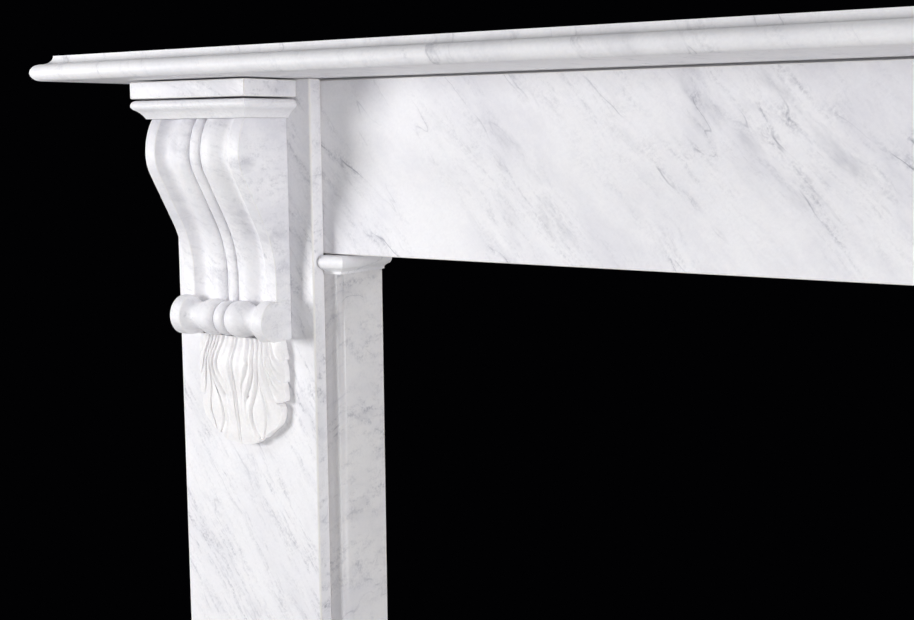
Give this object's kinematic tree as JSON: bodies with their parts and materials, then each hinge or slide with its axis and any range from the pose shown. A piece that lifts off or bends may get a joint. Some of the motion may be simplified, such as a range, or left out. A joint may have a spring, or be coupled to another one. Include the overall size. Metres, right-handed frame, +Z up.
{
  "type": "fireplace mantel",
  "caption": "Carved marble fireplace mantel: moulded shelf on two legs, each with a scrolled corbel and an acanthus leaf, and a plain frieze over the fire opening.",
  "frame": {"origin": "on the floor, under the middle of the bounding box, midway between the legs and midway between the shelf's front edge and the wall side", "axes": "+Z up; the front faces -Y and the wall is at +Y; +X is to the right of someone who faces the front"},
  "size_m": [1.556, 0.266, 1.1525],
  "materials": {
    "marble": "honed white marble with soft grey veins",
    "marble_plain": "sawn white marble, hidden faces",
    "leaf_marble": "carved white marble without veins, slightly creamy"
  },
  "bodies": {
    "root": {"shelf": "marble", "frieze": "marble", "frieze_soffit": "marble_plain", "left_jamb": "marble", "left_outer_return": "marble_plain", "left_inner_jamb": "marble", "left_inner_cap": "marble", "left_foot_block": "marble", "left_cap_block": "marble", "left_cap_moulding": "marble", "left_corbel": "marble", "left_acanthus_leaf": "leaf_marble", "right_jamb": "marble", "right_outer_return": "marble_plain", "right_inner_jamb": "marble", "right_inner_cap": "marble", "right_foot_block": "marble", "right_cap_block": "marble", "right_cap_moulding": "marble", "right_corbel": "marble", "right_acanthus_leaf": "leaf_marble"}
  },
  "joints": []
}
